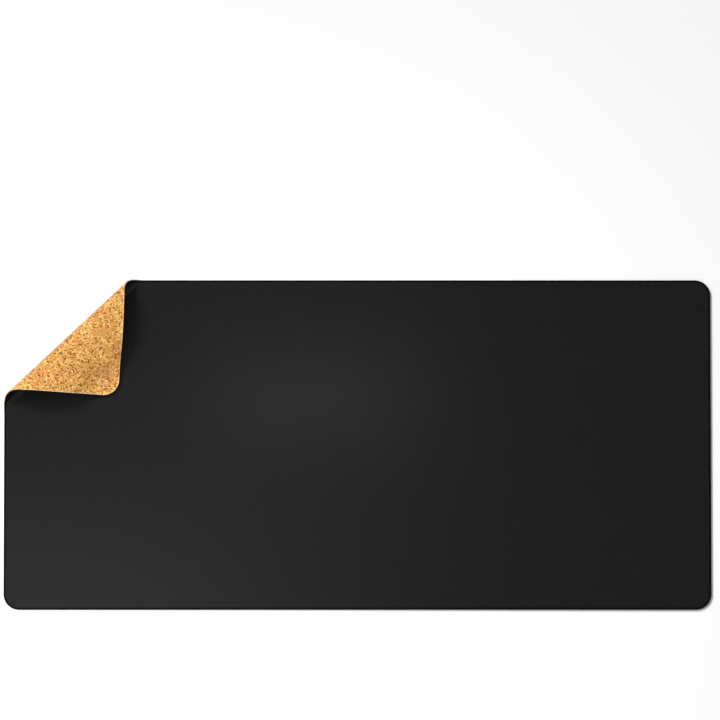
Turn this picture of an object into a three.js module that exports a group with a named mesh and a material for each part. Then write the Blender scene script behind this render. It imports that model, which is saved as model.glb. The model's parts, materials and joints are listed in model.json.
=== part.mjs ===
// Desk mat, dual sided: black polyurethane leather on cork, with its back left corner folded over.
// Millimetres. X runs along the long side to the right, Y towards the back, Z up.
// The origin is the centre of the underside of the flat mat.

import * as THREE from 'three';

// Outline
const MAT_WIDTH = 900;
const MAT_DEPTH = 430;
const CORNER_RADIUS = 20;
const CORNER_FACETS = 10;

// Bonded sheets, from the desk upwards
const CORK_THICKNESS = 1.1;
const CLOTH_THICKNESS = 0.38;
const SKIN_THICKNESS = 0.48;
const BOND_LINE = 0.02;

// Crease: the line where the back left corner starts to lift
const CREASE_ANGLE = THREE.MathUtils.degToRad(43.8);
const CREASE_FROM_CORNER = 180;

// The bend over the crease: a roll of narrow strips, about 11.5 mm in radius
const ROLL_STRIPS = 7;
const ROLL_PITCH = 5;
const ROLL_FOLD = 25;

// The turned flap: it arches back down towards the mat
const ARCH_STRIPS = 5;
const ARCH_LEAD = 6;
const ARCH_PITCH = 10.5;
const ARCH_FOLD = 7.5;

// The end of the flap: it curls the other way and lies level
const LEVEL_STRIPS = 3;
const LEVEL_LEAD = 8.5;
const LEVEL_PITCH = 8.5;
const LEVEL_FOLD = 8.25;

// Clear space between two neighbouring strips when the corner lies flat
const STRIP_GAP = 0.1;

const corkTop = CORK_THICKNESS;
const clothBottom = corkTop + BOND_LINE;
const clothTop = clothBottom + CLOTH_THICKNESS;
const skinBottom = clothTop + BOND_LINE;
const skinTop = skinBottom + SKIN_THICKNESS;

const layers = [
  { name: 'cork_sheet', bottom: 0, top: corkTop, color: 0xc58f52, roughness: 0.85 },
  { name: 'backing_cloth', bottom: clothBottom, top: clothTop, color: 0x3a3836, roughness: 0.95 },
  { name: 'leather_skin', bottom: skinBottom, top: skinTop, color: 0x28282a, roughness: 0.6 },
];

// The crease frame: x along the crease, y out towards the folded corner
const creaseStart = new THREE.Vector2(CREASE_FROM_CORNER - MAT_WIDTH / 2, MAT_DEPTH / 2);
const origin2 = new THREE.Vector2();

// The flat outline of the mat, counter-clockwise, in the crease frame
function matOutline() {
  const points = [];
  const reachX = MAT_WIDTH / 2 - CORNER_RADIUS;
  const reachY = MAT_DEPTH / 2 - CORNER_RADIUS;
  const centres = [[reachX, reachY], [-reachX, reachY], [-reachX, -reachY], [reachX, -reachY]];
  centres.forEach(([cx, cy], quarter) => {
    for (let i = 0; i <= CORNER_FACETS; i += 1) {
      const angle = (quarter + i / CORNER_FACETS) * (Math.PI / 2);
      const x = cx + CORNER_RADIUS * Math.cos(angle);
      const y = cy + CORNER_RADIUS * Math.sin(angle);
      points.push(new THREE.Vector2(x, y).sub(creaseStart).rotateAround(origin2, -CREASE_ANGLE));
    }
  });
  return points;
}

// Keeps the part of a convex outline on one side of the line y = limit: side is 1 above, -1 below
function clip(points, limit, side) {
  const kept = [];
  points.forEach((a, i) => {
    const b = points[(i + 1) % points.length];
    const insideA = side * (a.y - limit) >= 0;
    const insideB = side * (b.y - limit) >= 0;
    if (insideA) {
      kept.push(a);
    }
    if (insideA !== insideB) {
      kept.push(a.clone().lerp(b, (limit - a.y) / (b.y - a.y)));
    }
  });
  return kept;
}

// One hinge line per strip. Where the corner folds up, the line runs along the leather face, so the
// cork side opens; where the end of the flap curls back, it runs along the cork face.
function hingeLines() {
  const lines = [];
  let reach = ROLL_PITCH / 2;
  const add = (count, lead, pitch, fold, height) => {
    for (let i = 0; i < count; i += 1) {
      reach += i === 0 ? lead : pitch;
      lines.push({ reach, height, fold: THREE.MathUtils.degToRad(fold) });
    }
  };
  add(ROLL_STRIPS, 0, ROLL_PITCH, ROLL_FOLD, skinTop);
  add(ARCH_STRIPS, ARCH_LEAD, ARCH_PITCH, ARCH_FOLD, skinTop);
  add(LEVEL_STRIPS, LEVEL_LEAD, LEVEL_PITCH, -LEVEL_FOLD, 0);
  return lines;
}

// One sheet of one strip: a flat prism with its own material
function sheet(layer, suffix, outline, line) {
  const shape = new THREE.Shape(outline.map((p) => new THREE.Vector2(p.x, p.y - line.reach)));
  const depth = layer.top - layer.bottom;
  const geometry = new THREE.ExtrudeGeometry(shape, { depth, bevelEnabled: false });
  const material = new THREE.MeshStandardMaterial({
    color: layer.color,
    roughness: layer.roughness,
    metalness: 0,
  });
  const mesh = new THREE.Mesh(geometry, material);
  mesh.name = `${layer.name}_${suffix}`;
  mesh.position.z = layer.bottom - line.height;
  return mesh;
}

function addSheets(group, suffix, outline, line) {
  layers.forEach((layer) => group.add(sheet(layer, suffix, outline, line)));
}

const desk_mat = new THREE.Group();
desk_mat.name = 'desk_mat';

const creaseFrame = new THREE.Group();
creaseFrame.name = 'crease_frame';
creaseFrame.position.set(creaseStart.x, creaseStart.y, 0);
creaseFrame.rotation.z = CREASE_ANGLE;
desk_mat.add(creaseFrame);

const outline = matOutline();
const lines = hingeLines();
const flat = { reach: 0, height: 0 };

addSheets(creaseFrame, 'main', clip(outline, lines[0].reach - STRIP_GAP / 2, -1), flat);

// Each strip turns about its hinge line and carries the next strip
let parent = creaseFrame;
let parentLine = flat;
lines.forEach((line, i) => {
  const turned = new THREE.Group();
  turned.name = `strip_${i + 1}`;
  turned.position.set(0, line.reach - parentLine.reach, line.height - parentLine.height);
  turned.rotation.x = line.fold;
  parent.add(turned);

  const next = lines[i + 1];
  const beyond = clip(outline, line.reach + STRIP_GAP / 2, 1);
  const strip = next ? clip(beyond, next.reach - STRIP_GAP / 2, -1) : beyond;
  addSheets(turned, next ? `strip_${String(i + 1).padStart(2, '0')}` : 'corner', strip, line);

  parent = turned;
  parentLine = line;
});

export default desk_mat;
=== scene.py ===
"""Desk mat, dual sided: black polyurethane leather over cork, one corner folded over.

Every sheet is built flat, cut into pieces at the middle of each hinged strip, and folded with
the joints that the CAD frame states. A piece bends across exactly one joint, and the fold is the
exact inverse of that bending, so the mat is smooth when folded and truly flat when opened.
"""

import json
import math

import bmesh
import bpy
import numpy as np
from mathutils import Matrix, Vector

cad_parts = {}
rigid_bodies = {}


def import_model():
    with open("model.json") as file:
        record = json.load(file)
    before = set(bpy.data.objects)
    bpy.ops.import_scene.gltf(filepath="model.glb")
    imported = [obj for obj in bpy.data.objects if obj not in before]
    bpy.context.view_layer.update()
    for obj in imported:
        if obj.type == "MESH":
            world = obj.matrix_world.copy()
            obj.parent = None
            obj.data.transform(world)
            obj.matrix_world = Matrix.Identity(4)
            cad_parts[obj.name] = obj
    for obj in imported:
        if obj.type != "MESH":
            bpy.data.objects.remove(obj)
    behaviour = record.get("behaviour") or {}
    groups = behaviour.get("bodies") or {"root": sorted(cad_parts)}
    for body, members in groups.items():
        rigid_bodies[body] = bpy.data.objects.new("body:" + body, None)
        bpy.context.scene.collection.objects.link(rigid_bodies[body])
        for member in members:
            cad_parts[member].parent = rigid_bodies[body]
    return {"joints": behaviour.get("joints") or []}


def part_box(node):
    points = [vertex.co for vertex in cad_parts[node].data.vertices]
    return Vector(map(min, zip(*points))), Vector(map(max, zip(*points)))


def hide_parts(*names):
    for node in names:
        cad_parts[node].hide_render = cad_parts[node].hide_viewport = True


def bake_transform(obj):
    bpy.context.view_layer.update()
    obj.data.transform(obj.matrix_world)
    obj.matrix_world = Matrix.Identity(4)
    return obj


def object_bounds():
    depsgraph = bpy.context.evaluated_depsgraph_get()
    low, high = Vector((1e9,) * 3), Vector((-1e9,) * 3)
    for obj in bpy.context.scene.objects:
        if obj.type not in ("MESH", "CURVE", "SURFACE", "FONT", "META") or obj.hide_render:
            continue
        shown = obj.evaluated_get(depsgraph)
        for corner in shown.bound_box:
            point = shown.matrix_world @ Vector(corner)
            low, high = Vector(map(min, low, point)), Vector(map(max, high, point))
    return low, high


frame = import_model()
cad_low, cad_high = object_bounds()

MM = 0.001

# ---------------------------------------------------------------- dimensions, in millimetres

CORNER_RADIUS = 20.0

# How finely the curves are divided: a rounded corner, a shaped edge and the bend of one piece
ARC_STEPS = 20
EDGE_STEPS = 4
ROWS_PER_PIECE = 8

# Extra rings of vertices, this far inside the edge's shaped part
EDGE_BANDS = (4.5, 0.7)

# The fold of a piece is found by repetition. It settles within 20 rounds, and the rest are margin
FOLD_ROUNDS = 80

# Neighbouring faces that meet at more than this angle make a sharp edge
SHARP_ANGLE = math.radians(40)

# ---------------------------------------------------------------- the chain of joints


def turn(point, axis, angle):
    """A 4x4 turn about a line in space."""
    rotation = np.array(Matrix.Rotation(angle, 3, Vector(axis)))
    matrix = np.eye(4)
    matrix[:3, :3] = rotation
    matrix[:3, 3] = np.array(point) - rotation @ np.array(point)
    return matrix


def moved(points, matrix):
    """Points in rows, carried by a 4x4 matrix."""
    return np.asarray(points) @ matrix[:3, :3].T + matrix[:3, 3]


def chain_from(root, joints):
    """The joints from the root outwards, each with its place when the corner lies flat."""
    by_parent = {j["parent"]: j for j in joints}
    opened = np.eye(4)
    chain = []
    body = root
    while body in by_parent:
        joint = by_parent[body]
        at = np.array(joint["pos_m"]) / MM
        axis = np.array(joint["axis"], float)
        axis /= np.linalg.norm(axis)
        angle = math.radians(joint["range_deg"][1])
        link = {
            "parent": body,
            "child": joint["child"],
            "flat_at": moved(at[None], opened)[0],
            "axis": axis,
            "angle": angle,
            "parent_opened": opened,
        }
        opened = opened @ turn(at, axis, angle)
        link["child_opened"] = opened
        chain.append(link)
        body = joint["child"]
    return chain


ROOT = "mat"
chain = chain_from(ROOT, frame["joints"])

# The crease frame: OUT points across the crease towards the folded corner, in the plane of the mat
crease_point = chain[0]["flat_at"]
along = chain[0]["axis"]
OUT = np.array([-along[1], along[0], 0.0])
if (chain[1]["flat_at"] - crease_point) @ OUT < 0:
    OUT = -OUT
for link in chain:
    link["reach"] = float((link["flat_at"] - crease_point) @ OUT)

# A piece runs from the middle of one strip to the middle of the next
reaches = [link["reach"] for link in chain]
half_pitch = (reaches[1] - reaches[0]) / 2
cuts = [reaches[0] - half_pitch]
cuts += [(a + b) / 2 for a, b in zip(reaches, reaches[1:])]
cuts += [2 * reaches[-1] - cuts[-1]]


def smoothstep(t):
    """0 to 1 with soft ends, the curve by which a piece bends from one body to the next."""
    t = np.clip(t, 0.0, 1.0)
    return t * t * (3 - 2 * t)


def turned(points, at, axis, angles):
    """Each point turned about the same line by its own angle."""
    p = points - at
    c = np.cos(angles)[:, None]
    s = np.sin(angles)[:, None]
    return at + p * c + np.cross(axis, p) * s + axis * (p @ axis)[:, None] * (1 - c)


def fold(points, index):
    """The rest place of flat points on piece `index`, and the two ends of its bend."""
    link = chain[index]
    at, axis = link["flat_at"], link["axis"]
    from_parent = np.linalg.inv(link["parent_opened"])
    from_child = np.linalg.inv(link["child_opened"])
    start = moved((at + OUT * (cuts[index] - link["reach"]))[None], from_parent)[0]
    end = moved((at + OUT * (cuts[index + 1] - link["reach"]))[None], from_child)[0]
    span = end - start
    across = (points - at) @ OUT + link["reach"]
    weight = smoothstep((across - cuts[index]) / (cuts[index + 1] - cuts[index]))
    for _ in range(FOLD_ROUNDS):
        rest = moved(turned(points, at, axis, -weight * link["angle"]), from_parent)
        weight = smoothstep((rest - start) @ span / (span @ span))
    return rest, start, end


# ---------------------------------------------------------------- sheets

main_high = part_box("cork_sheet_main")[1]
HALF_WIDTH = main_high.x / MM
HALF_DEPTH = main_high.y / MM


def outline(inset):
    """The mat's rounded outline, counter-clockwise, moved inwards by inset."""
    radius = CORNER_RADIUS - inset
    cx, cy = HALF_WIDTH - CORNER_RADIUS, HALF_DEPTH - CORNER_RADIUS
    points = []
    for quarter, (sx, sy) in enumerate(((1, 1), (-1, 1), (-1, -1), (1, -1))):
        for i in range(ARC_STEPS + 1):
            angle = (quarter + i / ARC_STEPS) * math.pi / 2
            x = sx * cx + radius * math.cos(angle)
            y = sy * cy + radius * math.sin(angle)
            points.append((x, y))
    return points


def edge_distance(points):
    """How far each flat point lies inside the outline."""
    q = np.abs(points[:, :2]) - np.array([HALF_WIDTH, HALF_DEPTH]) + CORNER_RADIUS
    outside = np.linalg.norm(np.maximum(q, 0), axis=1)
    inside = np.minimum(np.max(q, axis=1), 0)
    return CORNER_RADIUS - outside - inside


def rim(low, high, low_radius, high_radius, inset):
    """The sheet's shaped edge as (inset, height) rings, from its underside round to its top."""
    rings = [(inset + low_radius + band, low) for band in EDGE_BANDS]
    quarter = [i / EDGE_STEPS * math.pi / 2 for i in range(EDGE_STEPS + 1)]
    for a in quarter:
        inwards = inset + low_radius * (1 - math.sin(a))
        rings.append((inwards, low + low_radius * (1 - math.cos(a))))
    for a in quarter:
        inwards = inset + high_radius * (1 - math.cos(a))
        rings.append((inwards, high - high_radius * (1 - math.sin(a))))
    rings += [(inset + high_radius + band, high) for band in reversed(EDGE_BANDS)]
    return rings


def flat_sheet(rings):
    """A closed flat sheet with a shaped edge."""
    bm = bmesh.new()
    loops = [[bm.verts.new((x, y, z)) for x, y in outline(d)] for d, z in rings]
    for lower, upper in zip(loops, loops[1:]):
        for i in range(len(lower)):
            j = (i + 1) % len(lower)
            bm.faces.new((lower[i], lower[j], upper[j], upper[i]))
    bm.faces.new(reversed(loops[0]))
    bm.faces.new(loops[-1])
    return bm


def bisect(bm, reach, **options):
    """Cuts a flat sheet along the line that lies `reach` millimetres out from the crease."""
    at = crease_point + OUT * reach
    bmesh.ops.bisect_plane(
        bm,
        geom=bm.verts[:] + bm.edges[:] + bm.faces[:],
        dist=1e-6,
        plane_co=Vector((at[0], at[1], 0.0)),
        plane_no=Vector(OUT),
        **options,
    )


def cap(bm):
    """Closes the side that a cut has left open."""
    edges = [e for e in bm.edges if e.is_boundary]
    bmesh.ops.edgeloop_fill(bm, edges=edges)


def sheet_piece(name, whole, index, material, nodes):
    """One piece of a sheet: cut out flat, folded, and bent across its joint."""
    bm = whole.copy()
    last = len(chain) - 1
    if index > 0:
        bisect(bm, cuts[index], clear_inner=True)
        cap(bm)
    if index < last:
        bisect(bm, cuts[index + 1], clear_outer=True)
        cap(bm)
    first_row = 0 if index == 0 else 1
    last_row = ROWS_PER_PIECE if index == last else ROWS_PER_PIECE - 1
    for row in range(first_row, last_row + 1):
        share = row / ROWS_PER_PIECE
        bisect(bm, cuts[index] * (1 - share) + cuts[index + 1] * share)
    bmesh.ops.recalc_face_normals(bm, faces=bm.faces[:])
    mesh = bpy.data.meshes.new(name)
    bm.to_mesh(mesh)
    bm.free()

    flat = np.zeros(len(mesh.vertices) * 3)
    mesh.vertices.foreach_get("co", flat)
    flat = flat.reshape(-1, 3)
    rest, start, end = fold(flat, index)
    mesh.vertices.foreach_set("co", (rest * MM).ravel())
    place = mesh.attributes.new("sheet_place", "FLOAT_VECTOR", "POINT")
    place.data.foreach_set("vector", flat.ravel())
    inside = mesh.attributes.new("edge_distance", "FLOAT", "POINT")
    inside.data.foreach_set("value", edge_distance(flat))
    mesh.polygons.foreach_set("use_smooth", [True] * len(mesh.polygons))
    mesh.set_sharp_from_angle(angle=SHARP_ANGLE)
    mesh.materials.append(material)
    mesh.update()

    piece = bpy.data.objects.new(name, mesh)
    bpy.context.scene.collection.objects.link(piece)
    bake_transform(piece)
    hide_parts(*nodes)


# ---------------------------------------------------------------- materials


class Shader:
    """A material's node tree, written as expressions."""

    def __init__(self, name):
        self.material = bpy.data.materials.new(name)
        self.material.use_nodes = True
        self.tree = self.material.node_tree
        self.tree.nodes.clear()

    def node(self, kind, inputs=None, **settings):
        """A node with its settings and inputs, each input a value or another node's output."""
        made = self.tree.nodes.new(kind)
        for key, value in settings.items():
            setattr(made, key, value)
        for key, value in (inputs or {}).items():
            self.feed(made.inputs[key], value)
        return made

    def feed(self, socket, value):
        if isinstance(value, bpy.types.NodeSocket):
            self.tree.links.new(value, socket)
        else:
            socket.default_value = value

    def math(self, operation, a, b=0.0, clamp=False):
        made = self.node("ShaderNodeMath", operation=operation, use_clamp=clamp)
        self.feed(made.inputs[0], a)
        self.feed(made.inputs[1], b)
        return made.outputs[0]

    def sheet(self, scale=(1.0, 1.0, 1.0), offset=(0.0, 0.0, 0.0)):
        """The flat sheet's own place in millimetres, so that a pattern runs on over every bend."""
        at = self.node("ShaderNodeAttribute", attribute_name="sheet_place").outputs["Vector"]
        return self.node(
            "ShaderNodeMapping", {"Vector": at, "Location": offset, "Scale": scale}
        ).outputs[0]

    def edge(self, near, far):
        """1 up to `near` millimetres from the cut edge, 0 from `far` millimetres inwards."""
        at = self.node("ShaderNodeAttribute", attribute_name="edge_distance").outputs["Fac"]
        return self.ramp(at, near, far, 1.0, 0.0)

    def ramp(self, value, low, high, out_low=0.0, out_high=1.0):
        """A soft step from out_low at `low` to out_high at `high`."""
        return self.node(
            "ShaderNodeMapRange",
            {
                "Value": value,
                "From Min": low,
                "From Max": high,
                "To Min": out_low,
                "To Max": out_high,
            },
            interpolation_type="SMOOTHSTEP",
        ).outputs[0]

    def noise(self, at, size, detail=2.0, roughness=0.5, distortion=0.0):
        """Noise whose features are about `size` millimetres across."""
        return self.node(
            "ShaderNodeTexNoise",
            {
                "Vector": at,
                "Scale": 1.0 / size,
                "Detail": detail,
                "Roughness": roughness,
                "Distortion": distortion,
            },
        ).outputs["Fac"]

    def cells(self, at, size, feature="DISTANCE_TO_EDGE", output="Distance"):
        """Cells about `size` millimetres across."""
        made = self.node(
            "ShaderNodeTexVoronoi", {"Vector": at, "Scale": 1.0 / size}, feature=feature
        )
        return made.outputs[output]

    def waves(self, at, scale, distortion, direction):
        """Slightly wavy bands across one direction."""
        return self.node(
            "ShaderNodeTexWave",
            {"Vector": at, "Scale": scale, "Distortion": distortion, "Detail": 1.0},
            bands_direction=direction,
        ).outputs["Fac"]

    def warped(self, at, size, amount):
        """The same place, pushed about by up to `amount` millimetres."""
        wobble = self.node(
            "ShaderNodeTexNoise", {"Vector": at, "Scale": 1.0 / size, "Detail": 1.0}
        ).outputs["Color"]
        centred = self.node("ShaderNodeVectorMath", operation="SUBTRACT")
        self.feed(centred.inputs[0], wobble)
        self.feed(centred.inputs[1], (0.5, 0.5, 0.5))
        scaled = self.node("ShaderNodeVectorMath", operation="SCALE")
        self.feed(scaled.inputs[0], centred.outputs[0])
        self.feed(scaled.inputs["Scale"], 2.0 * amount)
        added = self.node("ShaderNodeVectorMath", operation="ADD")
        self.feed(added.inputs[0], at)
        self.feed(added.inputs[1], scaled.outputs[0])
        return added.outputs[0]

    def mix(self, amount, a, b):
        """Colour `a`, turned into colour `b` by `amount`."""
        made = self.node("ShaderNodeMix", data_type="RGBA")
        self.feed(made.inputs[0], amount)
        self.feed(made.inputs[6], a)
        self.feed(made.inputs[7], b)
        return made.outputs[2]

    def colours(self, value, stops):
        """The colour at `value` between stops of (position, colour)."""
        made = self.node("ShaderNodeValToRGB", {"Fac": value})
        ramp = made.color_ramp
        while len(ramp.elements) < len(stops):
            ramp.elements.new(0.5)
        for element, (at, colour) in zip(ramp.elements, stops):
            element.position = at
            element.color = colour
        return made.outputs["Color"]

    def surface(self, colour, roughness, **extra):
        """Joins colour, roughness and whatever else is given to the material's surface."""
        surface = self.node(
            "ShaderNodeBsdfPrincipled", {"Base Color": colour, "Roughness": roughness, **extra}
        )
        self.node("ShaderNodeOutputMaterial", {"Surface": surface.outputs[0]})
        return self.material

    def finish(self, colour, roughness, height, depth, **extra):
        """The surface with a relief of `depth` millimetres."""
        bump = self.node(
            "ShaderNodeBump", {"Height": height, "Strength": 1.0, "Distance": depth * MM}
        )
        return self.surface(colour, roughness, Normal=bump.outputs[0], **extra)


def srgb(r, g, b):
    """A colour given as 0 to 255 display values."""

    def linear(v):
        v /= 255.0
        return v / 12.92 if v <= 0.04045 else ((v + 0.055) / 1.055) ** 2.4

    return (linear(r), linear(g), linear(b), 1.0)


# Sizes of the leather's patterns, and the depth of its relief
PEBBLE_SIZE = 1.15
CREASE_SIZE = 3.4
PORE_SIZE = 0.22
PATCH_SIZE = 9.0
SOFT_SIZE = 42.0
LEATHER_DEPTH = 0.06


def leather_material():
    """Matte black polyurethane leather with a fine pebbled grain."""
    s = Shader("black_pu_leather")
    at = s.warped(s.sheet(), 2.2, 0.35)
    pebble = s.ramp(s.cells(at, PEBBLE_SIZE), 0.0, 0.22)
    crease = s.ramp(s.cells(s.sheet(offset=(3.1, 7.7, 0.0)), CREASE_SIZE), 0.0, 0.05)
    pore = s.noise(at, PORE_SIZE)
    soft = s.noise(s.sheet(), SOFT_SIZE, detail=3.0, roughness=0.55)
    patch = s.noise(s.sheet(offset=(17.0, 5.0, 0.0)), PATCH_SIZE)

    height = s.math("ADD", s.math("MULTIPLY", pebble, 0.62), s.math("MULTIPLY", crease, 0.16))
    height = s.math("ADD", height, s.math("MULTIPLY", pore, 0.22))

    clouds = s.math("ADD", s.math("MULTIPLY", soft, 0.7), s.math("MULTIPLY", patch, 0.3))
    tone = s.colours(clouds, [(0.30, srgb(9, 9, 10)), (0.70, srgb(11, 11, 12))])
    tone = s.mix(s.ramp(pebble, 0.0, 1.0, 0.45, 0.0), tone, srgb(5, 5, 6))
    pressed = s.edge(1.6, 3.6)
    tone = s.mix(s.math("MULTIPLY", pressed, 0.7), tone, srgb(3, 3, 3))

    valleys = s.ramp(pebble, 0.0, 1.0, 0.14, 0.0)
    rough = s.math("ADD", s.ramp(soft, 0.3, 0.7, 0.445, 0.475), valleys)
    rough = s.math("ADD", rough, s.ramp(patch, 0.3, 0.7, -0.012, 0.012), clamp=True)

    # Shine falls as the view gets flatter, so that the face looks darker from low down
    low_angle = s.node("ShaderNodeLayerWeight", {"Blend": 0.5}).outputs["Facing"]
    fading = s.ramp(low_angle, 0.1, 0.6, 1.0, 0.3)
    shine = s.math("MULTIPLY", s.ramp(pressed, 0.0, 1.0, 0.16, 0.05), fading)
    return s.finish(tone, rough, height, LEATHER_DEPTH, **{"Specular IOR Level": shine})


# Sizes of the cork's patterns, and the depth of its relief
GRANULE_SIZE = 2.9
GRAIN_SIZE = 0.7
FLECK_SIZE = 1.7
SPECK_SIZE = 2.2
PALE_SIZE = 2.8
MOTTLE_SIZE = 24.0
CORK_DEPTH = 0.07


def cork_material():
    """Agglomerated cork: pressed granules in close tans, short dark bark specks, sanded flat."""
    s = Shader("agglomerated_cork")
    place = s.sheet()
    at = s.warped(place, 2.6, 0.8)
    granule = s.cells(at, GRANULE_SIZE, "F1", "Color")
    granule = s.node("ShaderNodeSeparateColor", {"Color": granule}).outputs[0]
    colour = s.colours(
        granule,
        [
            (0.00, srgb(209, 150, 75)),
            (0.25, srgb(226, 170, 91)),
            (0.55, srgb(236, 186, 107)),
            (0.85, srgb(245, 202, 123)),
            (1.00, srgb(252, 219, 149)),
        ],
    )
    grain = s.noise(at, GRAIN_SIZE, detail=3.0, roughness=0.6)
    colour = s.mix(s.ramp(grain, 0.40, 0.70, 0.0, 0.36), colour, srgb(190, 124, 54))
    flecks = s.noise(s.sheet(offset=(9.0, 23.0, 2.0)), FLECK_SIZE, detail=1.0)
    colour = s.mix(s.ramp(flecks, 0.46, 0.63, 0.0, 0.60), colour, srgb(168, 98, 24))
    mottle = s.noise(place, MOTTLE_SIZE)
    colour = s.mix(s.ramp(mottle, 0.40, 0.64, 0.0, 0.45), colour, srgb(190, 122, 66))
    seam = s.cells(at, GRANULE_SIZE)
    colour = s.mix(s.ramp(seam, 0.0, 0.12, 0.30, 0.0), colour, srgb(150, 92, 36))

    crooked = s.warped(s.sheet(scale=(1.0, 0.8, 1.0)), 4.2, 1.9)
    speck = s.ramp(s.noise(crooked, SPECK_SIZE, detail=1.0, distortion=0.8), 0.55, 0.615)
    colour = s.mix(s.math("MULTIPLY", speck, 0.84), colour, srgb(98, 42, 0))
    pale = s.noise(s.sheet(offset=(31.0, 12.0, 4.0)), PALE_SIZE, detail=1.0, distortion=0.6)
    pale = s.ramp(pale, 0.62, 0.70)
    colour = s.mix(s.math("MULTIPLY", pale, 0.30), colour, srgb(255, 230, 176))

    # A pale rim just inside the edge, part raw cork and part painted highlight, and painted shade
    # on the cut side wall
    cut = s.edge(0.02, 0.14)
    face_rim = s.math("MULTIPLY", s.edge(0.5, 1.3), s.math("SUBTRACT", 1.0, cut))
    # Partly painted highlight: the pale rim stands in for light on the rounded edge, partly
    # lighter raw cork
    colour = s.mix(s.math("MULTIPLY", face_rim, 0.5), colour, srgb(247, 222, 186))
    # Painted shade: the cut side wall is darkened from bare tan cork to a grey-brown
    colour = s.mix(s.math("MULTIPLY", cut, 0.8), colour, srgb(90, 72, 56))

    height = s.math("SUBTRACT", s.ramp(seam, 0.0, 0.16), s.math("MULTIPLY", speck, 0.9))
    height = s.math("ADD", height, s.math("MULTIPLY", grain, 0.5))
    rough = s.ramp(grain, 0.3, 0.7, 0.70, 0.82)
    rough = s.math("ADD", rough, s.math("MULTIPLY", speck, 0.12), clamp=True)
    return s.finish(colour, rough, height, CORK_DEPTH, **{"Specular IOR Level": 0.08})


# Waves per millimetre of the knit, its fuzz and the depth of its relief
KNIT_ROWS = 0.62
KNIT_COLUMNS = 0.80
FUZZ_SIZE = 0.12
CLOTH_DEPTH = 0.08


def cloth_material():
    """The knitted backing, seen only as a dark band in the cut edge."""
    s = Shader("knitted_backing")
    place = s.sheet()
    rows = s.waves(place, KNIT_ROWS, 1.2, "X")
    columns = s.waves(place, KNIT_COLUMNS, 1.0, "Y")
    knit = s.math("MULTIPLY", rows, columns)
    fuzz = s.noise(place, FUZZ_SIZE)
    colour = s.mix(knit, srgb(38, 36, 35), srgb(74, 70, 67))
    colour = s.mix(s.ramp(fuzz, 0.5, 0.8, 0.0, 0.4), colour, srgb(92, 88, 84))
    height = s.math("ADD", knit, s.math("MULTIPLY", fuzz, 0.5))
    rough = s.ramp(fuzz, 0.2, 0.8, 0.86, 0.98)
    return s.finish(colour, rough, height, CLOTH_DEPTH, **{"Sheen Weight": 0.3})


# ---------------------------------------------------------------- the mat

# Each sheet: its pieces' name, material and slot, the radii of its lower and upper edge, and how
# far its outline stands back from the mat's
layers = {
    "leather_skin": {
        "piece": "leather_face",
        "material": leather_material(),
        "slot": "leather_skin",
        "low_radius": 0.03,
        "high_radius": 0.20,
        "inset": 0.0,
    },
    "backing_cloth": {
        "piece": "cloth_core",
        "material": cloth_material(),
        "slot": "backing_cloth",
        "low_radius": 0.05,
        "high_radius": 0.05,
        "inset": 0.06,
    },
    "cork_sheet": {
        "piece": "cork_face",
        "material": cork_material(),
        "slot": "cork",
        "low_radius": 0.28,
        "high_radius": 0.03,
        "inset": 0.0,
    },
}

for layer, look in layers.items():
    low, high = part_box(f"{layer}_main")
    edge = rim(low.z / MM, high.z / MM, look["low_radius"], look["high_radius"], look["inset"])
    whole = flat_sheet(edge)
    for index, link in enumerate(chain):
        nodes = [f"{layer}_{link['child']}"]
        suffix = f"{index + 1:02d}"
        if index == 0:
            nodes.append(f"{layer}_main")
            suffix = "main"
        name = f"{look['piece']}_{suffix}"
        sheet_piece(name, whole, index, look["material"], nodes)
    whole.free()

# ---------------------------------------------------------------- stage, light and camera


FLOOR_HALF = 60.0
FLOOR_DROP = 0.0003


def stage_material():
    """A pale, matte floor."""
    s = Shader("pale_floor")
    at = s.node("ShaderNodeTexCoord").outputs["Object"]
    tone = s.node("ShaderNodeTexNoise", {"Vector": at, "Scale": 0.4, "Detail": 2.0}).outputs["Fac"]
    colour = s.mix(tone, (0.94, 0.94, 0.94, 1.0), (0.96, 0.96, 0.96, 1.0))
    return s.surface(colour, 0.9, **{"Specular IOR Level": 0.1})


def stage_floor():
    """A wide floor, a hair below the mat."""
    corners = [(-1, -1), (1, -1), (1, 1), (-1, 1)]
    z = cad_low.z - FLOOR_DROP
    mesh = bpy.data.meshes.new("floor")
    mesh.from_pydata([(x * FLOOR_HALF, y * FLOOR_HALF, z) for x, y in corners], [], [(0, 1, 2, 3)])
    mesh.materials.append(stage_material())
    floor = bpy.data.objects.new("floor", mesh)
    bpy.context.scene.collection.objects.link(floor)


def light(name, kind, energy, place, towards=(0.0, 0.0, 0.0), **settings):
    """A light at one place, pointed at another."""
    data = bpy.data.lights.new(name, kind)
    data.energy = energy
    for key, value in settings.items():
        setattr(data, key, value)
    made = bpy.data.objects.new(name, data)
    made.location = place
    made.rotation_mode = "QUATERNION"
    made.rotation_quaternion = (Vector(place) - Vector(towards)).to_track_quat("Z", "Y")
    bpy.context.scene.collection.objects.link(made)


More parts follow.
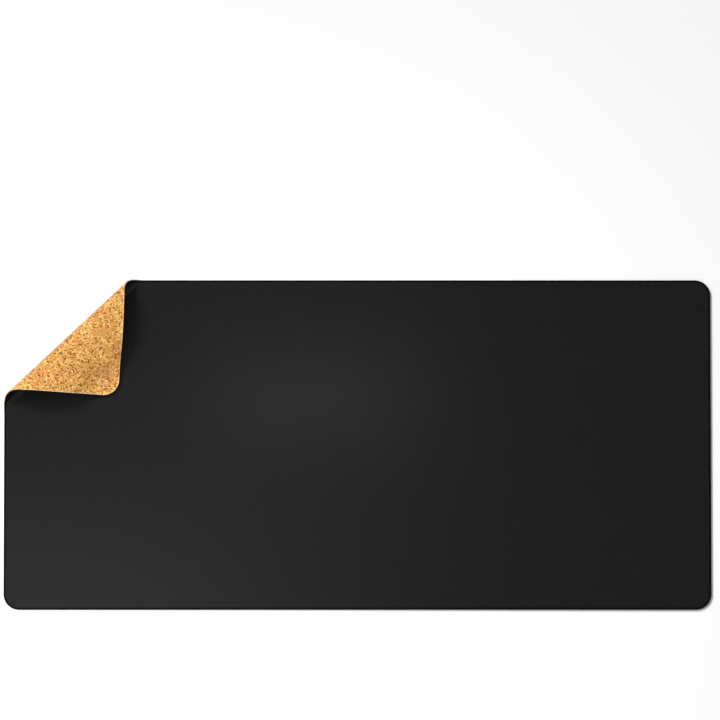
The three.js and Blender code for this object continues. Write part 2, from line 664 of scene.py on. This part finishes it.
def box_light(name, energy, x, y, height, width, depth):
    """A rectangular light that shines straight down."""
    size = {"shape": "RECTANGLE", "size": width, "size_y": depth}
    light(name, "AREA", energy, (x, y, height), towards=(x, y, 0.0), **size)


stage_floor()

# A wide sun from the back left, a box above the front left, and a narrow box low over the middle
# of the mat, with places and sizes in metres
SUN_ANGLE = math.radians(20)
light("key_sun", "SUN", 2.9, (-0.62, 0.60, 0.62), angle=SUN_ANGLE)
box_light("soft_box", 3.0, x=-0.42, y=-0.20, height=0.60, width=0.60, depth=0.20)
box_light("low_box", 0.19, x=-0.055, y=0.10, height=0.20, width=0.26, depth=0.05)

SKY_STRENGTH = 0.385
world = bpy.data.worlds.new("studio")
world.use_nodes = True
sky = world.node_tree.nodes["Background"]
sky.inputs["Color"].default_value = (1.0, 1.0, 1.0, 1.0)
sky.inputs["Strength"].default_value = SKY_STRENGTH
bpy.context.scene.world = world
bpy.context.scene.view_settings.view_transform = "Standard"

# The view: almost straight down, tilted a little towards the front edge, through a long lens.
# It takes in VIEW_WIDTH metres at the mat, and its middle lies AIM_RIGHT and AIM_UP metres from
# the mat's middle.
ELEVATION = math.radians(76.9)
LENS = 1000.0
SENSOR = 36.0
VIEW_WIDTH = 0.9169
AIM_RIGHT = 0.0032
AIM_UP = 0.1080

camera_data = bpy.data.cameras.new("camera")
camera_data.lens = LENS
camera_data.sensor_width = SENSOR
camera = bpy.data.objects.new("camera", camera_data)
back = Vector((0.0, -math.cos(ELEVATION), math.sin(ELEVATION)))
up = Vector((0.0, math.sin(ELEVATION), math.cos(ELEVATION)))
right = Vector((1.0, 0.0, 0.0))
aim = Vector((0.0, 0.0, main_high.z))
aim += right * AIM_RIGHT
aim += up * AIM_UP
distance = VIEW_WIDTH * LENS / SENSOR
camera.location = aim + back * distance
camera.rotation_mode = "QUATERNION"
camera.rotation_quaternion = back.to_track_quat("Z", "Y")
camera_data.clip_start = distance * 0.5
camera_data.clip_end = distance * 4
bpy.context.scene.collection.objects.link(camera)
bpy.context.scene.camera = camera
